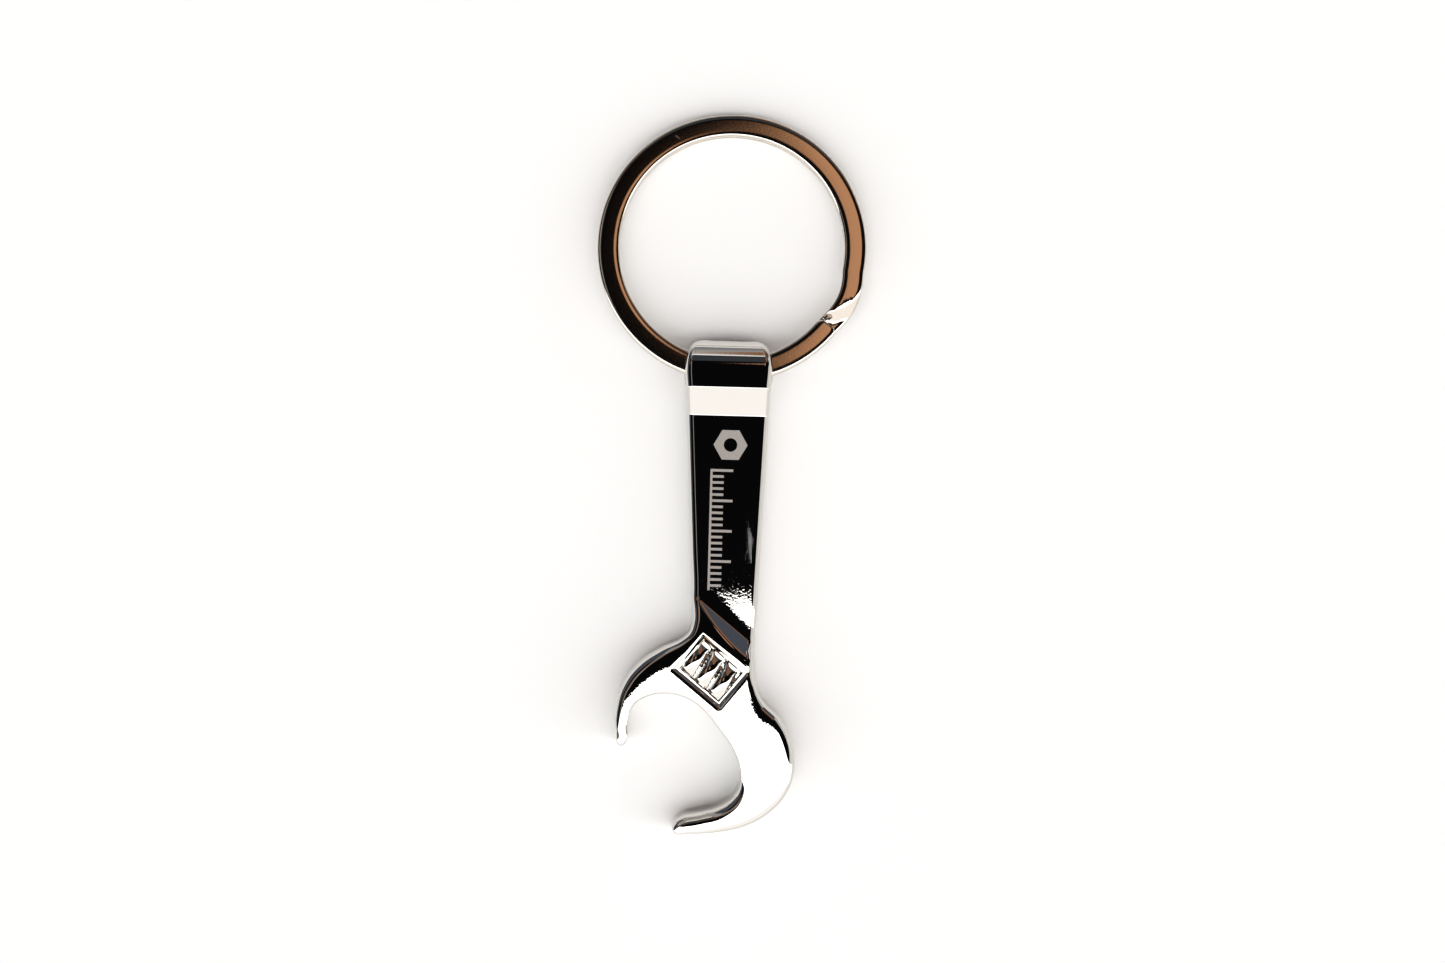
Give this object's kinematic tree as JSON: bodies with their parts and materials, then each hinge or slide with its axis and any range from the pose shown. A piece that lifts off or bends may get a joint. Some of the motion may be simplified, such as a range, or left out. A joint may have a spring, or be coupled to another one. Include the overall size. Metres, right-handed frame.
{
  "type": "keychain bottle opener",
  "caption": "Small flat-backed metal bottle opener shaped like an adjustable wrench, its eye threaded by a two-turn flat-wire split ring that swings.",
  "frame": {"origin": "on the flat back of the casting, in the middle of the handle, 14 mm below the eye's bore axis", "axes": "+X to the right across the handle, +Y along the handle towards the eye and the ring, +Z out of the front face"},
  "size_m": [0.032, 0.0858, 0.0061],
  "materials": {
    "chrome_plated_zinc": "bright chrome plate on polished zinc die casting",
    "nickel_plated_steel": "nickel plate on rolled flat spring wire, finely scratched"
  },
  "bodies": {
    "wrench": {"wrench_body": "chrome_plated_zinc"},
    "ring": {"split_ring": "nickel_plated_steel"}
  },
  "joints": [
    {"name": "ring_swing", "type": "hinge", "parent": "wrench", "child": "ring", "pos_m": [0, 0.014, 0.00305], "axis": [1, 0, 0], "range_deg": [-166, 176]}
  ]
}
